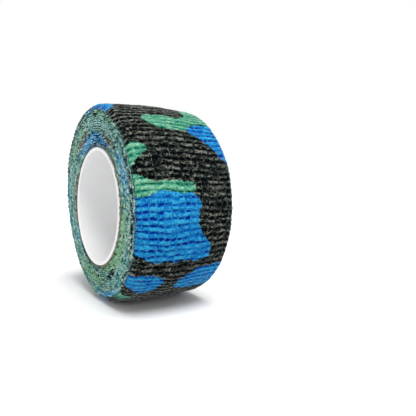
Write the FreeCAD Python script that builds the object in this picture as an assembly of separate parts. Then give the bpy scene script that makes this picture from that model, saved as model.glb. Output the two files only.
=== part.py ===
"""A roll of stretch wrap tape: printed crinkled nonwoven, self-gripping, wound on a white plastic core.

Frame: millimetres, +Z up, the core's axis along +Y, and the origin on that axis at the middle of the width.
Angles are measured about the axis from +X towards +Z, and the tape winds outwards as they grow.
The tape is one laminated strip. A backing web lies inside, an outer facing web carries the print, and
elastic yarns run lengthwise between them. Its free end, the tail, is three short lengths on hinge lines.
Every web or yarn is an extruded spiral of half-turn arcs that meet at the top and bottom of the roll.
"""

import FreeCAD, Part
import os
from math import cos, degrees, radians, sin

# Driving sizes.
TAPE_WIDTH = 25.0
CORE_BORE = 27.4
CORE_WALL = 0.9
RIM_ROUND = 0.25
TURNS = 17

# The roll is wound looser on top than below, so its outside is about 0.7 higher than its core.
PITCH_TOP = 0.61
PITCH_BOTTOM = 0.545
START_GAP = 0.05

# The laminate, from the inside out. A bond line lies on each side of the yarns.
BACKING = 0.12
BOND = 0.05
YARN_THICK = 0.08
FACING = 0.18
YARN_COUNT = 15
YARN_SPACING = 1.62
YARN_WIDTH = 0.4

# The crinkles are pressed flat by this much where the roll stands.
REST_FLAT = 0.12

# The tail lies over the upper part of the back.
TAIL_ROOT = 105.0
TAIL_NAMES = ("tail_root", "tail_middle", "tail_tip")
TAIL_STEP = 25.0
TAIL_GAP = 0.12

# Worked out from the sizes above.
STRIP = BACKING + BOND + YARN_THICK + BOND + FACING
START_RADIUS = CORE_BORE / 2 + CORE_WALL + START_GAP
LAYERS = {
    "backing_web": (0.0, BACKING),
    "elastic_yarns": (BACKING + BOND, BACKING + BOND + YARN_THICK),
    "facing_web": (STRIP - FACING, STRIP),
}
PARTS_FOLDER = "parts"


def top_of(turn):
    """Height of the strip's inner surface above the axis at the top, as that turn begins."""
    return START_RADIUS + turn * PITCH_TOP


def bottom_of(turn):
    """Depth of the strip's inner surface below the axis at the bottom, half-way through that turn."""
    return START_RADIUS + (turn + 0.5) * PITCH_BOTTOM


def left_arc(turn):
    """Centre height and radius of the half turn that goes down the -X side."""
    top, bottom = top_of(turn), bottom_of(turn)
    return (top - bottom) / 2, (top + bottom) / 2


def right_arc(turn):
    """Centre height and radius of the half turn that comes up the +X side."""
    top, bottom = top_of(turn + 1), bottom_of(turn)
    return (top - bottom) / 2, (top + bottom) / 2


def point(arc, offset, angle):
    """A point of an arc, offset outwards from it, in the plane y = 0."""
    height, radius = arc
    turned = radians(angle)
    return FreeCAD.Vector((radius + offset) * cos(turned), 0, height + (radius + offset) * sin(turned))


def edge(arc, offset, start, end):
    """The stretch of an offset arc between two angles."""
    middle = point(arc, offset, (start + end) / 2)
    return Part.Arc(point(arc, offset, start), middle, point(arc, offset, end)).toShape()


def strip(spans, low, high, width, centre):
    """A band of tape along spans (arc, start angle, end angle), from low to high above its inner surface."""
    inner = [edge(arc, low, start, end) for arc, start, end in spans]
    outer = [edge(arc, high, start, end) for arc, start, end in spans]
    first, last = spans[0], spans[-1]
    start_cut = Part.makeLine(point(first[0], low, first[1]), point(first[0], high, first[1]))
    end_cut = Part.makeLine(point(last[0], low, last[2]), point(last[0], high, last[2]))
    wire = Part.Wire(Part.__sortEdges__(inner + outer + [start_cut, end_cut]))
    face = Part.Face(wire)
    face.translate(FreeCAD.Vector(0, centre - width / 2, 0))
    return face.extrude(FreeCAD.Vector(0, width, 0))


def layer(spans, name):
    """One layer of the laminate along spans: a web across the whole width, or the set of yarns."""
    low, high = LAYERS[name]
    if name != "elastic_yarns":
        return strip(spans, low, high, TAPE_WIDTH, 0.0)
    middle = (YARN_COUNT - 1) / 2
    centres = [(i - middle) * YARN_SPACING for i in range(YARN_COUNT)]
    return Part.makeCompound([strip(spans, low, high, YARN_WIDTH, c) for c in centres])


def wound_spans():
    """The strip from the core to the root of the tail."""
    spans = []
    for turn in range(TURNS):
        spans.append((left_arc(turn), 90.0, 270.0))
        spans.append((right_arc(turn), 270.0, 450.0))
    spans.append((left_arc(TURNS), 90.0, TAIL_ROOT))
    return spans


def tail_spans(index):
    """One length of the tail. A narrow gap parts it from what it hinges on."""
    arc = left_arc(TURNS)
    gap = degrees(TAIL_GAP / arc[1])
    start = TAIL_ROOT + index * TAIL_STEP
    return [(arc, start + gap, start + TAIL_STEP)]


def hinge_line(index):
    """Where a length of tail turns: on the outside of the strip, at the start of its gap."""
    return point(left_arc(TURNS), STRIP, TAIL_ROOT + index * TAIL_STEP)


def pressed(web):
    """The facing web with its crinkles pressed flat under the roll."""
    floor_height = REST_FLAT - bottom_of(TURNS - 1) - STRIP
    slab = Part.makeBox(TAPE_WIDTH, 2 * TAPE_WIDTH, TAPE_WIDTH)
    slab.translate(FreeCAD.Vector(-TAPE_WIDTH / 2, -TAPE_WIDTH, floor_height - TAPE_WIDTH))
    return web.cut(slab)


def core():
    """A plain tube, as wide as the tape, with its four rim edges rounded."""
    outer = CORE_BORE / 2 + CORE_WALL
    base = FreeCAD.Vector(0, -TAPE_WIDTH / 2, 0)
    along = FreeCAD.Vector(0, 1, 0)
    tube = Part.makeCylinder(outer, TAPE_WIDTH, base, along)
    tube = tube.cut(Part.makeCylinder(CORE_BORE / 2, TAPE_WIDTH, base, along))
    rims = [e for e in tube.Edges if isinstance(e.Curve, Part.Circle)]
    return tube.makeFillet(RIM_ROUND, rims)


def build():
    """Every node by name."""
    nodes = {"core_tube": core()}
    for name in LAYERS:
        nodes[name] = layer(wound_spans(), name)
    nodes["facing_web"] = pressed(nodes["facing_web"])
    for index, tail in enumerate(TAIL_NAMES):
        for name in LAYERS:
            nodes[f"{tail}_{name}"] = layer(tail_spans(index), name)
    return nodes


def main():
    os.makedirs(PARTS_FOLDER, exist_ok=True)
    for name, shape in build().items():
        shape.exportStep(os.path.join(PARTS_FOLDER, name + ".step"))
        print(name, len(shape.Solids), "solids", round(shape.Volume, 1), "mm3", "valid", shape.isValid())
    for index, tail in enumerate(TAIL_NAMES):
        at = hinge_line(index)
        print(tail, "turns about x", round(at.x, 4), "z", round(at.z, 4))


main()
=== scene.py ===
from math import cos, pi, radians, sin, tan

import bpy
import numpy as np
from mathutils import Matrix, Vector


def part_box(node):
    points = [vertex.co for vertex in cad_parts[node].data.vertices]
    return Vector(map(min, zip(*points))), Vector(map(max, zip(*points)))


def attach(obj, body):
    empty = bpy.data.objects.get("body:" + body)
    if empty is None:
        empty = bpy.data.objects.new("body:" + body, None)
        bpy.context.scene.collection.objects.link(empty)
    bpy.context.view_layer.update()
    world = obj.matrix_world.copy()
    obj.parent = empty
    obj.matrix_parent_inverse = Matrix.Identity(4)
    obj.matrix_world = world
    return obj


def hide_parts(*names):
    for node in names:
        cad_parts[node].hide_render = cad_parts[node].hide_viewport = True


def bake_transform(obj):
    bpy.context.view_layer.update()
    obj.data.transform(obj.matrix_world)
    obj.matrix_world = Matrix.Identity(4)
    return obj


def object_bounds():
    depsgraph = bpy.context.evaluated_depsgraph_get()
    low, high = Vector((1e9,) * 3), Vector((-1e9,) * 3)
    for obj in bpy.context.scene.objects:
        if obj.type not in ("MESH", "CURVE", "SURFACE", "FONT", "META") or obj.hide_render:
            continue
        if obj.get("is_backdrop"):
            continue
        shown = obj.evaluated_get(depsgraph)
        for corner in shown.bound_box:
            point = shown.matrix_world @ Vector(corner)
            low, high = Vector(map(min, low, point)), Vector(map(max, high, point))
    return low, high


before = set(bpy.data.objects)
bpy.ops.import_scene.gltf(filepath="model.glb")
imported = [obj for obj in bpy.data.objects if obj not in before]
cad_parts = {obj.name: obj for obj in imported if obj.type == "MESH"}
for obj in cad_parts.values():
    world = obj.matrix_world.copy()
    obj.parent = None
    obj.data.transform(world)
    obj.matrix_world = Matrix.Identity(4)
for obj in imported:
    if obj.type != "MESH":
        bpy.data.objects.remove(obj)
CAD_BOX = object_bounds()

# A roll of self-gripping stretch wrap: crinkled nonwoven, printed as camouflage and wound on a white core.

# Lengths are in millimetres, and angles in degrees about the core's axis from +X towards +Z, unless said.
# The strip's own angle keeps growing as it winds outwards: it begins at WIND_START and gains 360 each turn.
MM = 0.001
WIDTH = (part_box("facing_web")[1].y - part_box("facing_web")[0].y) / MM
HALF = WIDTH / 2
START_GAP = 0.05
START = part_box("core_tube")[1].x / MM + START_GAP
WIND_START = 90
STRIP = 0.48
BACKING = 0.12
TURNS = 17
PITCH_TOP = (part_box("facing_web")[1].z / MM - STRIP - START) / TURNS
PITCH_BOTTOM = (-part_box("backing_web")[0].z / MM - BACKING - START) / (TURNS - 0.5)
TOP_RADIUS = START + TURNS * PITCH_TOP
MEAN_RADIUS = START + TURNS * (PITCH_TOP + PITCH_BOTTOM) / 2
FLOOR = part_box("facing_web")[0].z / MM

# The tail's hinge lines and end, as angles on the last turn.
TAIL_ROOT, TAIL_STEP = 105, 25
TAIL_BODIES = ("tail_root", "tail_middle", "tail_tip")
LAST = 360 * TURNS
ROOT = LAST + TAIL_ROOT
TAIL_END = ROOT + TAIL_STEP * len(TAIL_BODIES)
BEND_LENGTH = 4.5

# The wound strip departs from a plain cylinder: a crowned tread, soft corners and leaning sides.
CROWN = 0.8
EDGE_DROP, EDGE_REACH, EDGE_DEPTH = 0.9, 2.2, 4.0
EDGE_CURVE, DEPTH_CURVE = 3, 1.5
LEAN_LOW_Y, LEAN_HIGH_Y = -0.043, -0.009

# Ribs run across the strip's width, and the elastic yarns divide each rib into cells. A height is a share of
# RELIEF, from 0 in the deepest crease to about 1 on a crest. A pair is the least and the most of a range.
RIB_PITCH = 1.45
YARNS, YARN_SPACING = 15, 1.62
YARN_LINES = (np.arange(YARNS) - (YARNS - 1) / 2) * YARN_SPACING
MARGIN = (WIDTH - (YARNS - 1) * YARN_SPACING) / 2
RELIEF = 0.42
FLAT_HEIGHT = 0.8
CREST = (0.84, 1.12)
CREASE_MIDDLE, CREASE_RUN, CREASE_SPREAD, CREASE_MOST = 0.18, 0.55, 0.25, 0.85
CREASE_REACH, CREASE_SWELL = 0.16, 0.2
SHOULDER = 0.86
LEAN = (-0.14, 0.14)
SKEW = (0.6, 1.6)
BRIDGE, BRIDGE_HEIGHT = (0.25, 1.0), 0.66
GROOVE = (0.05, 0.34)
EDGE_THICKNESS, EDGE_THINNING = 0.3, 1.4
EDGE_BAND, EDGE_FLATTER, EDGE_SWAY, EDGE_LOOSE = 0.9, 0.45, 0.1, 0.16
EDGE_TONE_FROM = 0.6
LEAST_LIFT, INNER_SUNK = 0.05, 0.12
HEIGHT_MOST, INNER_HEIGHT, INNER_RELIEF = 1.2, 0.25, 0.45

# Layers of noise: how high, how long in two directions, and the seed. The directions are y, then rib number,
# except that STRAY and PRINT_Y_ASTRAY have them the other way round.
PUFF_GRAIN, RISE_GRAIN = (0.13, 0.9, 1 / 2.3, 21), (0.08, 0.4, 1 / 4.7, 22)
WANDER = (0.42, 6.0, 3.5, 31), (0.3, 1.9, 1.8, 32)
WANDER_FROM_START, WANDER_FROM_END = 3, 4
STRAY = (0.42, 5.0, 2.6, 33), (0.16, 1.7, 1.7, 34)
STRAY_FROM_EDGE = 2.5
SWELL = (0.07, 4.0, 2.6, 41)
PRINT_Y_ASTRAY, PRINT_ANGLE_ASTRAY = (0.5, 1 / 1.1, 2.4, 71), (0.85, 1.2, 1 / 1.2, 72)

# Steps of the crinkled surface's grid, as shares of a rib, a cell and the margin. Round the edge, its
# insets are in millimetres, and its shares say how much of the thickness it has there.
RIB_STEPS = np.array([0, 0.07, 0.2, 0.38, 0.6, 0.8, 0.93])
CELL_STEPS = np.array([0, 0.1, 0.24, 0.42, 0.6, 0.77, 0.9])
MARGIN_STEPS = np.array([0.05, 0.3, 0.6, 0.85])
EDGE_INSETS = np.array([0.12, 0.0, 0.02])
EDGE_SHARES = np.array([0.1, 0.4, 0.8])

# Yarns and loose fibres, as fine tubes. A fibre's height makes it paler than what it lies on.
YARN_DEPTH, YARN_THICK, YARN_HEIGHT = 0.12, 0.062, 0.93
FIBRES_PER_RIB = 7
FIBRE_THICK, FIBRE_HEIGHT = 0.022, 1.3
FIBRE_LENGTH, FIBRE_BEND, FIBRE_RISE = (0.7, 1.9), (-1.6, 1.6), (0.1, 0.24)
FIBRE_SINK, FIBRES_ACROSS = 0.05, 0.93
YARN_SWAY, YARN_WAVE, YARN_UNEVEN = 0.05, 0.04, 0.012
TUBE_SIDES, FIBRE_ROWS, YARN_ROWS_PER_RIB = 5, 6, 4

# A section through an inner turn, round one edge: how far in from the edge, and how high. Deeper inside,
# where nothing shows, a turn is thick enough to fill the gaps to its neighbours.
TURN_INSETS = np.array([0.7, 0.16, 0.02, 0.0, 0.05, 0.22, 0.75])
TURN_LIFTS = np.array([0.03, 0.05, 0.14, 0.24, 0.34, 0.42, 0.45])
FILL_LOW, FILL_HIGH = -0.09, 0.66
TURN_ROW = 0.42

# How far the inner turns' edges stick out, by rib, by loose end, by lump and by turn, and how far they lift.
TURN_RIPPLE = 1.31
RIB_WAVE, LOOSE_WAVE, LUMP_WAVE, TURN_WAVE, LIFT_WAVE = 0.09, 0.15, 0.11, 0.12, 0.05
WAVE_ENDS, WAVE_FULL = 0.7, 0.1
SIDE_TUCK = 0.06
CORE_FILL, CORE_FILL_BAND = 0.9, (0.24, 0.05)


# ---- numbers with no order in them, the same on each run ----

def smooth_noise(x, y, seed):
    """Smooth noise from -1 to 1 on a plane, one unit to a cell."""
    table = np.random.default_rng(seed).uniform(-1, 1, (256, 256))
    x0, y0 = np.floor(x).astype(int), np.floor(y).astype(int)
    fx, fy = x - x0, y - y0
    fx, fy = fx * fx * (3 - 2 * fx), fy * fy * (3 - 2 * fy)
    a = table[x0 % 256, y0 % 256] * (1 - fx) + table[(x0 + 1) % 256, y0 % 256] * fx
    b = table[x0 % 256, (y0 + 1) % 256] * (1 - fx) + table[(x0 + 1) % 256, (y0 + 1) % 256] * fx
    return a * (1 - fy) + b * fy


def ripples(x, y, *layers):
    """Layers of smooth noise added up. Each is how high it is, how long in x and in y, and its seed."""
    return sum(high * smooth_noise(x / x_long, y / y_long, seed) for high, x_long, y_long, seed in layers)


def smooth_step(low, high, x):
    t = np.clip((x - low) / (high - low), 0, 1)
    return t * t * (3 - 2 * t)


# ---- the wound shape ----

def arc_of(angle):
    """Centre height and inner radius of the half-turn arc that holds each strip angle."""
    turn = np.floor((angle - WIND_START) / 360)
    going_down = (angle - WIND_START) % 360 < 180
    top = START + (turn + np.where(going_down, 0, 1)) * PITCH_TOP
    bottom = START + (turn + 0.5) * PITCH_BOTTOM
    return (top - bottom) / 2, (top + bottom) / 2


def drop(y, depth, share):
    """How far the strip sinks below a plain cylinder at y, for a layer that deep under the outside."""
    crown = CROWN * share * (y / HALF) ** 2
    near_edge = np.clip((np.abs(y) - (HALF - EDGE_REACH)) / EDGE_REACH, 0, 1.1)
    layer = np.clip(1 - depth / EDGE_DEPTH, 0, 1) ** DEPTH_CURVE
    return crown + EDGE_DROP * layer * near_edge ** EDGE_CURVE


def placed(angle, lift, y, y_shift=0.0):
    """Points of the wound strip, in millimetres, lifted outwards from the strip's inner surface."""
    angle, lift, y = np.broadcast_arrays(angle, lift, y)
    height, radius = arc_of(angle)
    share = np.clip((radius - START) / (MEAN_RADIUS - START), 0, 1)
    reach = radius + lift - drop(y, np.clip(MEAN_RADIUS - radius, 0, None), share)
    turned = np.radians(angle)
    x, z = reach * np.cos(turned), height + reach * np.sin(turned)
    lean = LEAN_LOW_Y + (LEAN_HIGH_Y - LEAN_LOW_Y) * (y + HALF) / WIDTH
    return np.stack([x, y + y_shift + lean * z * share, np.maximum(z, FLOOR)], -1)


def lengths_to_angles(start, end):
    """Strip length measured from start, as a pair of tables at each degree: lengths, and angles."""
    angles = np.append(np.arange(start, end, 1.0), end)
    middles = (angles[1:] + angles[:-1]) / 2
    steps = np.radians(np.diff(angles)) * arc_of(middles)[1]
    return np.append(0, np.cumsum(steps)), angles


# ---- the print ----
# Each outline is (y, angle) points, where the angle is the outer turn's, from -255 under the tail to 180
# at the tail's end. Corners are rounded off afterwards.

BLUE_SHAPES = [
    [(-13, 67), (-12.5, 67), (-10.5, 70), (-9.7, 75), (-9.5, 82), (-10, 90), (-11.5, 95), (-14, 96),
     (-14, 67)],
    [(3, 45), (5, 50), (7, 53), (9, 54), (14, 52), (14, 24), (11.5, 26), (9.5, 30), (8.5, 34), (7, 38.5),
     (5.5, 41.5)],
    [(-14, 7.5), (-10, 8), (-8.5, 9.5), (-7, 10.4), (-3.5, 10), (-1.5, 9.6), (0.5, 8.8), (2.1, 7.4),
     (2.7, 4), (2.1, 1), (2.3, -4), (2.4, -8), (3, -11), (4, -14), (5.5, -17), (6.6, -19), (6.3, -23),
     (6.3, -27.7), (0, -28), (-8, -27.7), (-9.5, -26), (-11, -24), (-14, -20)],
    [(-14, -37), (-9, -36.5), (-6, -37.5), (-4, -40), (-3.5, -44), (-4.2, -48), (-5.5, -52), (-8, -53),
     (-10, -52), (-11.5, -48), (-14, -43)],
    [(-0.2, -49), (0.5, -45), (2, -39.5), (4, -35.5), (6, -33.7), (14, -33), (14, -48), (11, -54),
     (9, -55), (7, -54.5), (3, -53), (0.5, -51)],
    [(-14, -84), (-8, -82), (-3, -84), (-2, -90), (-5, -95), (-10, -98), (-14, -100)],
    [(1, -79), (7, -76), (14, -79), (14, -86), (10, -88), (5, -86), (1, -87)],
    [(-9, -110), (-6, -104), (-2, -101), (3, -99), (6, -106), (6, -113), (5, -124), (8, -132), (5, -139),
     (-1, -138), (-3, -130), (-7, -126), (-8, -116)],
    [(14, -101), (10, -103), (9.5, -110), (11, -116), (14, -117)],
    [(-14, -133), (-10, -134), (-8, -142), (-5, -148), (-6, -156), (-11, -158), (-14, -155)],
    [(4, -149), (14, -146), (14, -175), (7, -174), (2, -168), (-1, -161), (0, -153)],
    [(-14, -180), (-9, -174), (-4, -168), (0, -176), (5, -181), (4, -187), (-1, -194), (-7, -192),
     (-10, -198), (-14, -199)],
    [(6, -190), (10, -187), (14, -189), (14, -206), (10, -209), (9, -216), (5, -215), (4, -204)],
    [(-5, -208), (-1, -205), (1, -212), (0, -222), (-4, -228), (-9, -226), (-9, -216)],
    [(3, -232), (8, -229), (14, -232), (14, -250), (7, -252), (2, -245)],
    [(-14, -236), (-8, -238), (-6, -247), (-8, -256), (-14, -256)],
    [(-4, 97), (1, 94), (6, 97), (9, 104), (7, 111), (2, 113), (-1, 119), (-5, 116), (-6, 107)],
    [(-14, 116), (-10, 116), (-7, 121), (-4, 127), (-4, 134), (-6, 141), (-5, 148), (-9, 151),
     (-14, 147)],
    [(4, 128), (9, 124), (14, 126), (14, 146), (10, 149), (6, 146), (3, 139)],
    [(-3, 158), (2, 155), (7, 158), (6, 167), (8, 175), (2, 181), (-4, 178), (-6, 168)],
]
GREEN_SHAPES = [
    [(-6.4, 56), (-6.2, 58.5), (-4, 60), (3, 58), (5.2, 60), (6, 63), (6.3, 68), (7, 74), (8, 80),
     (8, 96), (14, 98), (14, 54), (9, 54.5), (7, 53.7), (5, 51), (3, 45.6), (0, 46), (-3.5, 48),
     (-5.5, 50)],
    [(-14, 37), (-9, 36.5), (-8.2, 34), (-9, 31), (-10.5, 29), (-11.5, 27), (-12.1, 22), (-14, 18)],
    [(-14, 20), (-11, 17.4), (-9.8, 15.4), (0.5, 15.2), (1.6, 13.5), (1.7, 11), (1.2, 9.2), (-2, 9),
     (-3.5, 9.8), (-7, 10), (-8.5, 9.3), (-10, 7.8), (-14, 7.2)],
    [(-14, -55), (-9.5, -58), (-9, -63), (-14, -66)],
    [(-14, -104), (-9, -102), (-5, -97), (-1, -94), (6, -92), (14, -90), (14, -96), (8, -98), (3, -99),
     (-2, -101), (-6, -104), (-9, -110), (-9, -120), (-11, -127), (-14, -128), (-14, -121), (-12, -115),
     (-13, -109)],
    [(8, -120), (14, -121), (14, -127), (10.5, -128), (11, -136), (14, -140), (14, -144), (8, -143),
     (9, -133), (7, -127)],
    [(-3, -142), (1, -141), (3, -147), (0, -153), (-1, -161), (2, -168), (7, -174), (14, -175),
     (14, -182), (6, -181), (0, -175), (-4, -167), (-9, -165), (-14, -167), (-14, -162), (-8, -161),
     (-4, -157), (-3, -150)],
    [(-14, -205), (-10, -204), (-7, -203), (-4, -199), (1, -197), (3, -200), (2, -203), (-1, -202),
     (-5, -205), (-7, -210), (-10, -213), (-11, -221), (-14, -224)],
    [(3, -219), (7, -220), (12, -214), (14, -213), (14, -221), (11, -224), (6, -226), (2, -229),
     (0, -236), (-4, -238), (-6, -233), (-2, -230)],
    [(-4, -244), (0, -243), (1, -251), (0, -256), (-5, -256)],
    [(-14, 109), (-9, 108), (-7, 114), (-3, 121), (3, 120), (9, 115), (14, 113), (14, 119), (10, 121),
     (5, 125), (0, 128), (-4, 128), (-7, 122), (-10, 117), (-14, 117)],
    [(-3, 134), (-1, 133), (1, 138), (0, 146), (4, 152), (9, 155), (14, 154), (14, 158), (9, 160),
     (6, 158), (2, 156), (-3, 158), (-5, 156), (-3, 148), (-4, 140)],
    [(-14, 153), (-10, 154), (-8, 160), (-9, 168), (-8, 176), (-10, 181), (-14, 181)],
]

CORNER_CUT, CORNER_ROUNDS = 0.18, 2
PRINT_REACH = 3.0


def rounded(outline):
    """The outline in millimetres, with its corners cut off a few times over."""
    points = np.array(outline, float) * (1, radians(1) * TOP_RADIUS)
    for _ in range(CORNER_ROUNDS):
        following = np.roll(points, -1, 0)
        near = points * (1 - CORNER_CUT) + following * CORNER_CUT
        far = points * CORNER_CUT + following * (1 - CORNER_CUT)
        points = np.stack([near, far], 1).reshape(-1, 2)
    return points


def inside_by(outline, points):
    """Distance of each point inside a closed outline, negative outside it."""
    nearest = np.full(len(points), np.inf)
    inside = np.zeros(len(points), bool)
    for (ax, ay), (bx, by) in zip(outline, np.roll(outline, -1, 0)):
        dx, dy = bx - ax, by - ay
        px, py = points[:, 0] - ax, points[:, 1] - ay
        t = np.clip((px * dx + py * dy) / (dx * dx + dy * dy), 0, 1)
        nearest = np.minimum(nearest, np.hypot(px - t * dx, py - t * dy))
        if dy:
            crosses = (ay > points[:, 1]) != (by > points[:, 1])
            inside ^= crosses & (px < dx * py / dy)
    return np.where(inside, nearest, -nearest)


def print_at(y, angle):
    """How far inside the blue and the green each place on the outer turn lies, in millimetres."""
    points = np.stack([y, np.radians(angle - LAST) * TOP_RADIUS], -1).reshape(-1, 2)
    near = {}
    for colour, shapes in (("blue", BLUE_SHAPES), ("green", GREEN_SHAPES)):
        far = np.full(len(points), -PRINT_REACH)
        for shape in shapes:
            outline = rounded(shape)
            low, high = outline.min(0) - PRINT_REACH, outline.max(0) + PRINT_REACH
            close = np.all((points > low) & (points < high), 1)
            far[close] = np.maximum(far[close], inside_by(outline, points[close]))
        near[colour] = np.clip(far, -PRINT_REACH, PRINT_REACH).reshape(np.shape(angle))
    return near


# ---- meshes ----

def new_piece(name, points, faces, material, attributes):
    """A smooth-shaded mesh from points in millimetres, with number attributes for its material."""
    mesh = bpy.data.meshes.new(name)
    mesh.from_pydata((np.reshape(points, (-1, 3)) * MM).tolist(), [], faces)
    mesh.polygons.foreach_set("use_smooth", [True] * len(mesh.polygons))
    for key, values in attributes.items():
        layer = mesh.attributes.new(key, "FLOAT", "POINT")
        layer.data.foreach_set("value", np.ravel(values).astype(np.float32))
    mesh.materials.append(material)
    mesh.update()
    piece = bpy.data.objects.new(name, mesh)
    bpy.context.scene.collection.objects.link(piece)
    return piece


def grid_faces(rows, columns, first=0, flip=False):
    """Quads between neighbouring rows and columns of a grid of points."""
    corner = first + np.arange(rows - 1)[:, None] * columns + np.arange(columns - 1)
    quads = np.stack([corner, corner + 1, corner + columns + 1, corner + columns], -1).reshape(-1, 4)
    return (quads[:, ::-1] if flip else quads).tolist()


def ring_faces(rows, columns, first=0):
    """Quads round a tube of rows of closed rings, with its two end faces."""
    row, column = np.meshgrid(np.arange(rows - 1), np.arange(columns), indexing="ij")
    beside = (column + 1) % columns
    quads = np.stack([row * columns + column, (row + 1) * columns + column,
                      (row + 1) * columns + beside, row * columns + beside], -1).reshape(-1, 4) + first
    start = (first + np.arange(columns)).tolist()
    end = (first + (rows - 1) * columns + np.arange(columns))[::-1].tolist()
    return quads.tolist() + [start, end]


# ---- the crinkled strip ----

def columns_across():
    """Columns of the strip: y, cell number, place in the cell, and share of the thickness, edge to edge."""
    edge_place = np.full(len(EDGE_INSETS), MARGIN_STEPS[0])
    margin_place = np.concatenate([edge_place, MARGIN_STEPS])
    margin_y = np.concatenate([EDGE_INSETS, MARGIN_STEPS * MARGIN]) - HALF
    margin_share = np.concatenate([EDGE_SHARES, np.ones(len(MARGIN_STEPS))])
    y, place = [margin_y], [margin_place]
    cell = [np.full(len(margin_y), 0)]
    for i in range(YARNS - 1):
        y.append(YARN_LINES[i] + CELL_STEPS * YARN_SPACING)
        cell.append(np.full(len(CELL_STEPS), i + 1))
        place.append(CELL_STEPS)
    y += [[YARN_LINES[-1]], -margin_y[::-1]]
    cell += [np.full(len(margin_y) + 1, YARNS)]
    place += [[0], 1 - margin_place[::-1]]
    middle_share = np.ones((YARNS - 1) * len(CELL_STEPS) + 1)
    share = np.concatenate([margin_share, middle_share, margin_share[::-1]])
    return np.concatenate(y), np.concatenate(cell), np.concatenate(place), share


def outer_ribs():
    """Knots of the outer turn and tail where a piece may end: rib numbers, and lengths from its start."""
    tail_breaks = [ROOT + TAIL_STEP * (i + 0.5) for i in range(len(TAIL_BODIES) - 1)]
    breaks = [ROOT - 360, ROOT, *tail_breaks, TAIL_END]
    lengths, angles = lengths_to_angles(breaks[0], breaks[-1])
    at = np.interp(breaks, angles, lengths)
    ribs = np.append(0, np.cumsum(np.maximum(1, np.round(np.diff(at) / RIB_PITCH)).astype(int)))
    return ribs, at, lengths, angles


def crinkle(rib, y, cell, place):
    """Height of the puffed surface, 1 on a crest and 0 in the deepest crease, at a rib number and column."""
    number = np.floor(rib).astype(int)
    along = rib - number
    here, size = (number, cell), (int(number.max()) + 3, YARNS + 1)
    random = np.random.default_rng(11)
    crest = random.uniform(*CREST, size)[here]
    run = smooth_noise(np.arange(size[1]) / 2.3, np.arange(size[0])[:, None] * 1.9, 12)
    crease = CREASE_MIDDLE + CREASE_RUN * run + random.uniform(-CREASE_SPREAD, CREASE_SPREAD, size)
    crease = np.clip(crease, 0, CREASE_MOST)
    bent = np.clip(along + random.uniform(*LEAN, size)[here] * np.sin(pi * along), 0, 1)
    middle = np.sin(pi * np.clip(place, 0, 1) ** random.uniform(*SKEW, size)[here])
    bridge = random.uniform(*BRIDGE, size)[here] * (1 - middle ** 0.7)
    groove = random.uniform(*GROOVE, size)[here] * (1 - middle ** 0.5)
    low = np.where(bent < 0.5, crease[here], crease[number + 1, cell])
    low = low + (BRIDGE_HEIGHT - low) * bridge
    top = crest * (SHOULDER + (1 - SHOULDER) * np.sin(pi * bent)) - groove
    rise = smooth_step(0, CREASE_REACH + CREASE_SWELL * middle, np.minimum(bent, 1 - bent))
    height = low + (top - low) * rise
    height += ripples(y, rib, PUFF_GRAIN) * np.sin(pi * along)
    return height + ripples(y, rib, RISE_GRAIN) * rise


def warped(rib, y, last_rib):
    """How far each rib wanders along the strip. The tail's cut end is straight."""
    from_ends = smooth_step(0, WANDER_FROM_END, last_rib - rib) * smooth_step(0, WANDER_FROM_START, rib)
    return ripples(y, rib, *WANDER) * from_ends


def strayed(y, rib):
    """The columns of a strip, wandering sideways along it between its straight edges."""
    free = smooth_step(HALF, HALF - STRAY_FROM_EDGE, np.abs(y))
    return y + free * ripples(rib, y, *STRAY)


def strip_thickness(y):
    """Laminate thickness across the width: thinner at the pressed edges."""
    thinned = smooth_step(HALF - EDGE_THINNING, HALF, np.abs(y))
    return STRIP - (STRIP - EDGE_THICKNESS) * thinned


def outer_surface(first, last, inner_columns):
    """Outer and inner grids of the crinkled strip between two rib numbers, and both grids' attributes."""
    ribs, at, lengths, angles = outer_ribs()
    y, cell, place, share = columns_across()
    picked = np.unique(np.linspace(0, len(y) - 1, inner_columns or len(y)).astype(int))
    rib = np.append((np.arange(first, last)[:, None] + RIB_STEPS).ravel(), last)[:, None]
    y = strayed(y, rib)
    length = np.interp(rib, ribs, at) + warped(rib, y, ribs[-1])
    angle = np.interp(length, lengths, angles)
    height = crinkle(np.broadcast_to(rib, y.shape), y, np.broadcast_to(cell, y.shape), place)
    edge = smooth_step(HALF - EDGE_BAND, HALF, np.abs(y))
    on_top = share == 1
    puff = RELIEF * (height - FLAT_HEIGHT) * (1 - EDGE_FLATTER * edge) + ripples(y, rib, SWELL)
    lift = np.maximum(strip_thickness(y) * share + puff * on_top, LEAST_LIFT)
    sway = EDGE_SWAY * np.sin(2 * pi * rib) + EDGE_LOOSE * smooth_noise(rib / 1.3, 3.5, 43)
    y_shift = np.sign(y) * edge * sway
    outer = placed(angle, lift, y, y_shift)
    near = print_at(y + ripples(rib, y, PRINT_Y_ASTRAY), angle + ripples(y, rib, PRINT_ANGLE_ASTRAY))
    facts = {"blue_by": near["blue"], "green_by": near["green"], "height": np.clip(height, 0, HEIGHT_MOST),
             "edge": smooth_step(EDGE_TONE_FROM, 1.0, edge)}
    sunk = INNER_SUNK * (1 - height[:, picked]) * on_top[picked]
    inner = placed(angle[:, picked], sunk, y[:, picked], y_shift[:, picked])
    inner_facts = {key: values[:, picked] for key, values in facts.items()}
    inner_facts["height"] = INNER_HEIGHT + INNER_RELIEF * (1 - inner_facts["height"])
    return outer, inner, facts, inner_facts, picked


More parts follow.
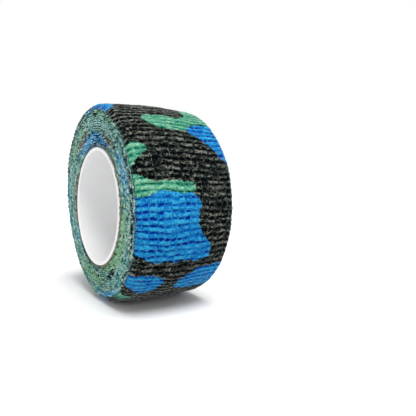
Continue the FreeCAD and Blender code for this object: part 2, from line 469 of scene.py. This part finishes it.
def strip_piece(name, first, last, material, inner_columns=None):
    """A closed length of the crinkled strip between two rib numbers."""
    outer, inner, facts, inner_facts, picked = outer_surface(first, last, inner_columns)
    rows, columns = outer.shape[:2]
    few = len(picked)
    base = rows * columns
    faces = grid_faces(rows, columns) + grid_faces(rows, few, base, flip=True)
    for row in range(rows - 1):
        a, b = row * columns, base + row * few
        faces.append([a, a + columns, b + few, b])
        a, b = a + columns - 1, b + few - 1
        faces.append([a + columns, a, b, b + few])
    for row, flip in ((0, False), (rows - 1, True)):
        for k in range(few - 1):
            above = (row * columns + np.arange(picked[k], picked[k + 1] + 1)).tolist()
            cap = [base + row * few + k, base + row * few + k + 1] + above[::-1]
            faces.append(cap[::-1] if flip else cap)
    points = np.concatenate([outer.reshape(-1, 3), inner.reshape(-1, 3)])
    both = {key: np.concatenate([np.ravel(facts[key]), np.ravel(inner_facts[key])]) for key in facts}
    both["inner"] = np.concatenate([np.zeros(base), np.ones(rows * few)])
    return new_piece(name, points, faces, material, both)


def yarn_runs(first, last):
    """Each yarn between two rib numbers, where it bridges the creases: rib, y, lift, thickness and height."""
    rib = np.arange(first * YARN_ROWS_PER_RIB, last * YARN_ROWS_PER_RIB + 1)[:, None] / YARN_ROWS_PER_RIB
    for i, line in enumerate(YARN_LINES):
        y = strayed(line, rib) + YARN_SWAY * smooth_noise(rib / 2.2, i * 1.7, 51)
        lift = STRIP - YARN_DEPTH + YARN_WAVE * smooth_noise(rib / 1.1, i * 2.3, 52)
        thick = YARN_THICK + YARN_UNEVEN * smooth_noise(rib / 0.9, i * 3.1, 53)
        yield rib, y, lift, thick, YARN_HEIGHT


def fibre_runs(first, last):
    """Loose fibres that lie curled on the facing, in the same form as the yarns."""
    random = np.random.default_rng(54 + first)
    steps = np.linspace(0, 1, FIBRE_ROWS)[:, None]
    for _ in range(int((last - first) * FIBRES_PER_RIB)):
        from_rib = random.uniform(first + 0.5, last - 2.0)
        from_y = random.uniform(-FIBRES_ACROSS, FIBRES_ACROSS) * HALF
        turned = random.uniform(0, 2 * pi) + random.uniform(*FIBRE_BEND) * steps
        reach = random.uniform(*FIBRE_LENGTH) * steps
        rib = np.clip(from_rib + reach * np.cos(turned) / RIB_PITCH, first + 0.2, last - 0.2)
        y = np.clip(from_y + reach * np.sin(turned), -HALF + 0.3, HALF - 0.3)
        lift = STRIP - FIBRE_SINK + random.uniform(*FIBRE_RISE) * np.sin(pi * steps)
        yield rib, y, lift, np.full_like(rib, FIBRE_THICK), FIBRE_HEIGHT


def thread_piece(name, first, last, material):
    """The elastic yarns and the loose fibres between two rib numbers, as one piece."""
    ribs, at, lengths, angles = outer_ribs()
    around = np.arange(TUBE_SIDES) * 2 * pi / TUBE_SIDES
    runs = [*yarn_runs(first, last), *fibre_runs(first, last)]
    sizes = [len(run[0]) for run in runs]
    starts = np.append(0, np.cumsum(sizes)) * TUBE_SIDES
    faces = []
    for size, start in zip(sizes, starts):
        faces += ring_faces(size, TUBE_SIDES, int(start))
    rib, y, lift, thick = (np.concatenate([run[k] for run in runs]) for k in range(4))
    height = np.repeat([run[4] for run in runs], sizes)[:, None] + 0 * around
    angle = np.interp(np.interp(rib, ribs, at), lengths, angles) + 0 * around
    points = placed(angle, lift + thick * np.sin(around), y + thick * np.cos(around))
    near = print_at(y + 0 * around, angle)
    facts = {"blue_by": near["blue"], "green_by": near["green"], "height": height,
             "edge": 0 * angle, "inner": 0 * angle}
    return new_piece(name, points, faces, material, facts)


# ---- the wound layers, seen at their edges ----

# Soft patches of colour on the sides: angle, share of the way out from the core, how far they reach in
# degrees and as a share, and how strong they are.
SIDE_PATCHES = {
    "pale": [(95, 0.62, 50, 0.3, 0.9), (160, 0.5, 24, 0.3, 0.5)],
    "blue": [(95, 0.16, 50, 0.3, 0.9), (28, 0.42, 28, 0.34, 0.68), (215, 0.2, 22, 0.16, 0.7),
             (285, 0.88, 30, 0.16, 0.8), (185, 0.85, 50, 0.16, 0.6), (100, 1.0, 16, 0.14, 1.0)],
    "green": [(325, 0.2, 50, 0.34, 1.0), (255, 0.4, 46, 0.36, 0.8), (70, 0.85, 34, 0.16, 0.75),
              (130, 0.62, 40, 0.24, 0.7), (15, 0.97, 34, 0.06, 0.8)],
    "brown": [(60, 0.3, 20, 0.18, 0.8), (176, 0.12, 34, 0.2, 1.0), (124, 0.44, 26, 0.14, 1.0)],
    "dark": [(300, 0.34, 12, 0.16, 0.85), (240, 0.06, 24, 0.1, 0.8), (5, 0.78, 55, 0.2, 0.8),
             (55, 0.7, 24, 0.1, 0.55), (335, 0.85, 36, 0.14, 0.7)],
}
PATCH_ENDS, PATCH_FULL = 1.25, 0.35
# An edge that sits level has TURN_CREST. CREST_GAIN turns how far an edge sticks out into crest, which paints
# highlight on outstanding edges and shade on sunk ones.
TURN_CREST, CREST_GAIN = 0.55, 1.7


def side_tints(angle, out):
    """How strongly each colour shows on the sides, from the patches."""
    tints = {}
    for name, patches in SIDE_PATCHES.items():
        tints[name] = np.zeros(out.shape)
        for middle, level, reach, breadth, strength in patches:
            turned = (angle - middle + 180) % 360 - 180
            away = np.hypot(turned / reach, (out - level) / breadth)
            tints[name] = np.maximum(tints[name], strength * smooth_step(PATCH_ENDS, PATCH_FULL, away))
    return tints


def wound_layers(name, first_angle, last_angle, material):
    """The inner turns as one closed strip. Its edges are lumpy where its ribs end."""
    lengths, angles = lengths_to_angles(first_angle, last_angle)
    length = np.arange(0, lengths[-1], TURN_ROW)[:, None]
    angle = np.interp(length, lengths, angles)
    turn = (angle - WIND_START) / 360
    inside = HALF / 2
    y = np.concatenate([TURN_INSETS - HALF, [-inside, inside], HALF - TURN_INSETS[::-1], [inside, -inside]])
    lift = np.concatenate([TURN_LIFTS, [FILL_HIGH] * 2, TURN_LIFTS[::-1], [FILL_LOW] * 2])
    side = np.sign(y) * smooth_step(WAVE_ENDS, WAVE_FULL, HALF - np.abs(y))
    which = np.sign(side)
    phase = 2 * pi * length / TURN_RIPPLE + 3 * smooth_noise(length / 9, side * 5 + 7, 61)
    wave = RIB_WAVE * np.sin(phase)
    wave += LOOSE_WAVE * smooth_noise(length / 0.9, which * 9, 62)
    wave += LUMP_WAVE * smooth_noise(length / 0.75, lift * 6 + which * 11, 63)
    wave += TURN_WAVE * smooth_noise(np.floor(turn) * 1.37 + angle / 160, which * 4 + 0.5, 64)
    radial = LIFT_WAVE * smooth_noise(length / 0.8, which * 3 + 0.5, 65) * np.abs(side)
    height, radius = arc_of(angle)
    off_core = np.where(turn < 1, radius + height * np.sin(np.radians(angle)) - START, 0)
    lift = lift - CORE_FILL * off_core * smooth_step(*CORE_FILL_BAND, lift)
    points = placed(angle, lift + radial, y, side * wave - SIDE_TUCK * which)
    out = np.clip(turn / TURNS, 0, 1) + 0 * y
    facts = {f"{colour}_tint": share for colour, share in side_tints(angle, out).items()}
    facts["along"] = length + 0 * y
    facts["turn"] = turn + 0 * y
    # crest: higher where the edge sticks out. The side material uses it to paint shade on sunk edges and
    # highlight on outstanding ones.
    facts["crest"] = np.clip(TURN_CREST + CREST_GAIN * wave * np.abs(side), 0, 1)
    return new_piece(name, points, ring_faces(len(length), len(y)), material, facts)


# ---- materials ----

class Nodes:
    """Short calls for building a material's node tree."""

    def __init__(self, name):
        self.material = bpy.data.materials.new(name)
        self.material.use_nodes = True
        self.tree = self.material.node_tree
        self.shader = self.tree.nodes["Principled BSDF"]

    def link(self, source, socket):
        """Feeds a socket from another one, or sets it to a number, a vector or a colour."""
        if isinstance(source, bpy.types.NodeSocket):
            self.tree.links.new(source, socket)
        elif socket.type == "RGBA":
            socket.default_value = (*source, 1)
        else:
            socket.default_value = source

    def attribute(self, name):
        node = self.tree.nodes.new("ShaderNodeAttribute")
        node.attribute_name = name
        return node.outputs["Fac"]

    def place(self, x=1.0, y=1.0, z=1.0):
        """The object's own coordinates, in millimetres, times a factor on each axis."""
        node = self.tree.nodes.new("ShaderNodeVectorMath")
        node.operation = "MULTIPLY"
        self.link(self.tree.nodes.new("ShaderNodeTexCoord").outputs["Object"], node.inputs[0])
        self.link((x / MM, y / MM, z / MM), node.inputs[1])
        return node.outputs["Vector"]

    def combine(self, x, y, z):
        node = self.tree.nodes.new("ShaderNodeCombineXYZ")
        for source, socket in zip((x, y, z), node.inputs):
            self.link(source, socket)
        return node.outputs[0]

    def math(self, operation, a, b):
        node = self.tree.nodes.new("ShaderNodeMath")
        node.operation = operation
        self.link(a, node.inputs[0])
        self.link(b, node.inputs[1])
        return node.outputs[0]

    def times(self, a, b):
        return self.math("MULTIPLY", a, b)

    def add(self, first, *others):
        for other in others:
            first = self.math("ADD", first, other)
        return first

    def about(self, value, middle, gain):
        """How far value is from middle, times gain."""
        return self.times(self.math("SUBTRACT", value, middle), gain)

    def noise(self, where, scale, detail=2.0, rough=0.5, distort=0.0):
        node = self.tree.nodes.new("ShaderNodeTexNoise")
        self.link(where, node.inputs["Vector"])
        values = {"Scale": scale, "Detail": detail, "Roughness": rough, "Distortion": distort}
        for key, value in values.items():
            node.inputs[key].default_value = value
        return node.outputs["Fac"]

    def band(self, value, low, high, to_low=0.0, to_high=1.0):
        """value eased from low..high to to_low..to_high."""
        node = self.tree.nodes.new("ShaderNodeMapRange")
        node.interpolation_type = "SMOOTHSTEP"
        for source, socket in zip((value, low, high, to_low, to_high), node.inputs):
            self.link(source, socket)
        return node.outputs["Result"]

    def mix(self, share, a, b):
        node = self.tree.nodes.new("ShaderNodeMix")
        node.data_type = "RGBA"
        self.link(share, node.inputs[0])
        self.link(a, node.inputs[6])
        self.link(b, node.inputs[7])
        return node.outputs[2]

    def bump(self, height, distance, strength, normal=None):
        node = self.tree.nodes.new("ShaderNodeBump")
        node.inputs["Strength"].default_value = strength
        node.inputs["Distance"].default_value = distance * MM
        self.link(height, node.inputs["Height"])
        if normal is not None:
            self.link(normal, node.inputs["Normal"])
        return node.outputs["Normal"]

    def set(self, **values):
        """Sets or links the shader's sockets, named with _ for a space."""
        for key, value in values.items():
            self.link(value, self.shader.inputs[key.replace("_", " ")])


# Each printed colour has three tones, and the heights at which each tone is reached. The dark tone in the
# creases is partly ink that misses them and partly painted shade; the light tone on the crests is partly a
# painted highlight.
CHARCOAL = ((0.0004, 0.001, 0.0016), (0.0075, 0.015, 0.013), (0.175, 0.18, 0.15)), (0.62, 0.93, 1.22)
BLUE = ((0.001, 0.012, 0.2), (0.003, 0.135, 0.37), (0.035, 0.31, 0.51)), (0.24, 0.72, 1.25)
GREEN = ((0.002, 0.075, 0.04), (0.024, 0.21, 0.13), (0.22, 0.42, 0.285)), (0.05, 0.65, 1.25)
FADE, FADE_SHARE, FADE_MOST = (0.12, 0.12, 0.11), 0.35, 0.2
EDGE_TONES = (0.004, 0.012, 0.015), (0.17, 0.32, 0.29)
BACKING_TONES = (0.12, 0.14, 0.14), (0.36, 0.38, 0.36)
FIBRE_GRAIN, FINE_GRAIN = 1.8, 2.3
RAGGED, PRINT_EDGE = 1.1, (-0.1, 0.12)

# The layers' edges: two tones in streaks, brown-grey patches, and the tint of each kind of soft patch. The
# pale and dark specks lean pale where an edge sticks out and dark where it sits back: painted highlight and
# painted shade.
STREAK_TONES = (0.05, 0.225, 0.25), (0.24, 0.45, 0.36)
PATCH_TONE = (0.16, 0.17, 0.15)
TINTS = (("pale", (0.3, 0.54, 0.5)), ("green", (0.2, 0.4, 0.24)), ("blue", (0.075, 0.31, 0.58)),
         ("brown", (0.2, 0.19, 0.16)), ("dark", (0.014, 0.022, 0.03)))
PALE_SPECK, PALE_SPECK_BAND = (0.4, 0.55, 0.5), (0.55, 0.63)
DARK_SPECK, DARK_SPECK_BAND = (0.004, 0.01, 0.016), (0.486, 0.425)
FIRST_TURN_TONE, FIRST_TURN_SHARE = (0.12, 0.1, 0.05), 0.7


def shades(nodes, height, tones, levels):
    """A printed colour in three tones, from the creases up to the crests: partly painted shade in the
    creases, partly painted highlight on the crests.
    """
    dark, middle, light = tones
    lower = nodes.mix(nodes.band(height, levels[0], levels[1]), dark, middle)
    return nodes.mix(nodes.band(height, levels[1], levels[2]), lower, light)


def printed_tape():
    """The facing: matte nonwoven, printed charcoal, blue and green, with creases darkened partly by painted
    shade, crests lightened partly by painted highlight, and fine fibres.
    """
    n = Nodes("printed_tape")
    place = n.place()
    fibre = n.noise(n.place(y=0.5), 2.5, detail=4, rough=0.65, distort=1.0)
    fine = n.noise(place, 3.2, detail=5, rough=0.72, distort=0.6)
    blotch = n.noise(place, 0.5, detail=3, rough=0.55)
    grain = n.add(n.about(fibre, 0.5, FIBRE_GRAIN), n.about(fine, 0.5, FINE_GRAIN))
    # The height picks each ink's tone: partly painted shade in the creases, partly painted highlight on the
    # crests.
    height = n.add(n.attribute("height"), grain)
    ragged = n.about(n.noise(place, 1.6, detail=3, rough=0.6), 0.5, RAGGED)
    colour = shades(n, height, *CHARCOAL)
    for outline, tones in (("blue_by", BLUE), ("green_by", GREEN)):
        printed = n.band(n.add(n.attribute(outline), ragged), *PRINT_EDGE)
        colour = n.mix(printed, colour, shades(n, height, *tones))
    faded = n.mix(FADE_SHARE, colour, FADE)
    colour = n.mix(n.times(n.band(blotch, 0.5, 0.8), FADE_MOST), colour, faded)
    edge_tone = n.mix(n.band(n.add(n.times(fibre, 0.5), n.times(fine, 0.5)), 0.46, 0.62), *EDGE_TONES)
    colour = n.mix(n.times(n.attribute("edge"), 0.7), colour, edge_tone)
    backing = n.mix(n.band(fibre, 0.35, 0.65), *BACKING_TONES)
    colour = n.mix(n.times(n.attribute("inner"), 0.8), colour, backing)
    n.set(Base_Color=colour, Roughness=n.band(fibre, 0.2, 0.8, 0.75, 0.95), Specular_IOR_Level=0.02,
          Sheen_Weight=0.6, Sheen_Roughness=0.2, Normal=n.bump(fibre, 0.16, 0.9, n.bump(fine, 0.05, 0.7)))
    return n.material


def layer_edges():
    """The sides of the wound layers: speckled streaks of teal, blue, green, brown-grey and near-black, with
    painted shade on edges that sit back and painted highlight on those that stick out.
    """
    n = Nodes("layer_edges")
    along, turn = n.attribute("along"), n.attribute("turn")

    def wound_noise(per_length, per_turn, level, detail=3, rough=0.6):
        """Noise that follows the layers round. Each level gives another one."""
        where = n.combine(n.times(along, per_length), n.times(turn, per_turn), level)
        return n.noise(where, 1.0, detail, rough)

    streak = wound_noise(0.16, 2.1, level=0.0)
    patch = wound_noise(0.5, 3.7, level=4.0)
    speck = wound_noise(2.5, 3.2, level=8.0, rough=0.7)
    coarse = wound_noise(0.9, 1.3, level=21.0, detail=2)
    fine = n.noise(n.place(), 3.6, detail=3, rough=0.7, distort=0.5)
    colour = n.mix(n.band(streak, 0.4, 0.6), *STREAK_TONES)
    colour = n.mix(n.band(patch, 0.52, 0.66), colour, PATCH_TONE)
    uneven = n.about(n.add(patch, speck), 1.35, 1.6)
    for name, tone in TINTS:
        share = n.add(n.times(n.attribute(name + "_tint"), 1.2), uneven)
        colour = n.mix(n.band(share, 0.0, 0.4), colour, tone)
    # Random specks, shifted by crest into painted shade on sunk edges and painted highlight on outstanding
    # ones.
    specks_and_painted_shade = n.add(n.times(speck, 0.4), n.times(fine, 0.2), n.times(coarse, 0.4),
                 n.about(n.attribute("crest"), TURN_CREST, 0.3))
    colour = n.mix(n.band(specks_and_painted_shade, *PALE_SPECK_BAND), colour, PALE_SPECK)
    colour = n.mix(n.band(specks_and_painted_shade, *DARK_SPECK_BAND), colour, DARK_SPECK)
    first_turn = n.band(turn, 0.9, 1.2, 1.0, 0.0)
    colour = n.mix(n.times(first_turn, FIRST_TURN_SHARE), colour, FIRST_TURN_TONE)
    n.set(Base_Color=colour, Roughness=0.92, Specular_IOR_Level=0.02,
          Normal=n.bump(fine, 0.16, 0.9, n.bump(speck, 0.2, 0.8)))
    return n.material


def core_plastic():
    """White moulded plastic: satin, slightly uneven, with light rub marks."""
    n = Nodes("core_plastic")
    cloud = n.noise(n.place(), 0.12, detail=3)
    flow = n.noise(n.place(y=0.15), 1.6, detail=4, rough=0.6)
    rub = n.band(n.noise(n.place(), 0.9, detail=5, rough=0.7), 0.58, 0.75)
    colour = n.mix(cloud, (0.7, 0.7, 0.705), (0.76, 0.76, 0.765))
    colour = n.mix(n.times(rub, 0.12), colour, (0.55, 0.56, 0.57))
    n.set(Base_Color=colour, Roughness=n.band(flow, 0.3, 0.7, 0.3, 0.46), Subsurface_Weight=0.12,
          Subsurface_Scale=0.002, Normal=n.bump(flow, 0.03, 0.35))
    return n.material


def floor_material():
    n = Nodes("pale_floor")
    cloud = n.noise(n.place(), 0.02)
    n.set(Base_Color=n.mix(cloud, (0.8, 0.8, 0.8), (0.83, 0.83, 0.83)), Roughness=0.8)
    return n.material


# ---- the object ----

def make_roll():
    """The wound part of the roll. Returns the tape's material and the ribs at which its pieces end."""
    tape, sides = printed_tape(), layer_edges()
    ribs = outer_ribs()[0]
    inner = wound_layers("wound_tape", WIND_START, ROOT - 360, sides)
    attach(inner, "roll")
    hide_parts("backing_web", "facing_web")
    wrap = strip_piece("outer_wrap", 0, ribs[1], tape, inner_columns=6)
    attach(wrap, "roll")
    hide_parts("facing_web")
    threads = thread_piece("elastic_threads", 0, ribs[1], tape)
    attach(threads, "roll")
    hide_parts("elastic_yarns")
    return tape, ribs


def hinge_and_reach(index):
    """A tail hinge line's point, and one on the tail a bend's length beyond it, in metres."""
    angle = ROOT + TAIL_STEP * index
    beyond = angle + np.degrees(BEND_LENGTH / (arc_of(angle)[1] + STRIP))
    return [Vector((placed(a, STRIP, 0.0) * MM).tolist()) for a in (angle, beyond)]


def make_tail(tape, ribs):
    for i, body in enumerate(TAIL_BODIES):
        start, end = hinge_and_reach(i)
        cover = strip_piece(f"{body}_tape", ribs[i + 1], ribs[i + 2], tape)
        threads = thread_piece(f"{body}_threads", ribs[i + 1], ribs[i + 2], tape)
        for piece in (cover, threads):
            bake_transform(piece)
            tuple(start)
            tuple(end)
        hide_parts(f"{body}_facing_web", f"{body}_backing_web")
        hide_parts(f"{body}_elastic_yarns")


def finish_core():
    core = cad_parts["core_tube"]
    core.data.materials.clear()
    core.data.materials.append(core_plastic())


# ---- floor, light and camera ----

# The camera stands off in the direction of its azimuth and elevation, then moves to its right and up. Its
# nearest distance and the floor's half side are in metres.
CAMERA_AZIMUTH, CAMERA_ELEVATION, CAMERA_ROLL = 55.86, 4.8, 1.19
CAMERA_DISTANCE = 116.3
CAMERA_RIGHT, CAMERA_UP = 17.43, -1.47
ROLL_CENTRE = 0.72
FIELD_OF_VIEW = 50.45
SENSOR, NEAREST = 36, 0.005
FLOOR_HALF = 3.0
SUN_AZIMUTH, SUN_ELEVATION, SUN_SOFTNESS, SUN_STRENGTH = 86, 67, 34, 3.5
HORIZON_TOP, SKY_TOP, HORIZON_STRENGTH, SKY_STRENGTH = 0.5, 0.75, 1.0, 0.45


def look_from(azimuth, elevation):
    """Unit vector from the object towards a place at that azimuth and elevation."""
    a, e = radians(azimuth), radians(elevation)
    return Vector((sin(a) * cos(e), -cos(a) * cos(e), sin(e)))


def make_camera():
    back = look_from(CAMERA_AZIMUTH, CAMERA_ELEVATION)
    level = (-back).cross(Vector((0, 0, 1))).normalized()
    above = level.cross(-back)
    roll = radians(CAMERA_ROLL)
    right = cos(roll) * level + sin(roll) * above
    up = -sin(roll) * level + cos(roll) * above
    at = back * CAMERA_DISTANCE + right * CAMERA_RIGHT + up * CAMERA_UP + Vector((0, 0, ROLL_CENTRE))
    data = bpy.data.cameras.new("camera")
    data.sensor_width = SENSOR
    data.lens = SENSOR / 2 / tan(radians(FIELD_OF_VIEW / 2))
    data.clip_start = NEAREST
    camera = bpy.data.objects.new("camera", data)
    bpy.context.scene.collection.objects.link(camera)
    turned = Matrix((right, up, back)).transposed().to_4x4()
    camera.matrix_world = Matrix.Translation(at * MM) @ turned
    bpy.context.scene.camera = camera


def make_sun():
    """A far, soft lamp, so that the floor is lit evenly out to the horizon."""
    data = bpy.data.lights.new("key_light", "SUN")
    data.angle = radians(SUN_SOFTNESS)
    data.energy = SUN_STRENGTH
    lamp = bpy.data.objects.new("key_light", data)
    bpy.context.scene.collection.objects.link(lamp)
    lamp.rotation_euler = look_from(SUN_AZIMUTH, SUN_ELEVATION).to_track_quat("Z", "Y").to_euler()


def make_world():
    """A white horizon under a dimmer sky."""
    world = bpy.data.worlds.new("studio")
    world.use_nodes = True
    nodes, links = world.node_tree.nodes, world.node_tree.links
    split = nodes.new("ShaderNodeSeparateXYZ")
    links.new(nodes.new("ShaderNodeTexCoord").outputs["Generated"], split.inputs[0])
    fade = nodes.new("ShaderNodeMapRange")
    fade.interpolation_type = "SMOOTHSTEP"
    for value, socket in zip((HORIZON_TOP, SKY_TOP, HORIZON_STRENGTH, SKY_STRENGTH), list(fade.inputs)[1:]):
        socket.default_value = value
    links.new(split.outputs["Z"], fade.inputs["Value"])
    links.new(fade.outputs["Result"], nodes["Background"].inputs["Strength"])
    nodes["Background"].inputs["Color"].default_value = (1, 1, 1, 1)
    bpy.context.scene.world = world


def make_studio():
    mesh = bpy.data.meshes.new("floor")
    corners = [(x * FLOOR_HALF, y * FLOOR_HALF, 0) for x, y in ((-1, -1), (1, -1), (1, 1), (-1, 1))]
    mesh.from_pydata(corners, [], [(0, 1, 2, 3)])
    mesh.materials.append(floor_material())
    floor = bpy.data.objects.new("floor", mesh)
    floor.location.z = FLOOR * MM
    bpy.context.scene.collection.objects.link(floor)
    floor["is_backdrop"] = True
    make_sun()
    make_world()
    bpy.context.scene.view_settings.view_transform = "Standard"


def write_sizes():
    boxes = {"cad": CAD_BOX, "visual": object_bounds()}
    {name: [list(corner) for corner in box] for name, box in boxes.items()}


printed, rib_breaks = make_roll()
make_tail(printed, rib_breaks)
finish_core()
make_camera()
make_studio()
write_sizes()
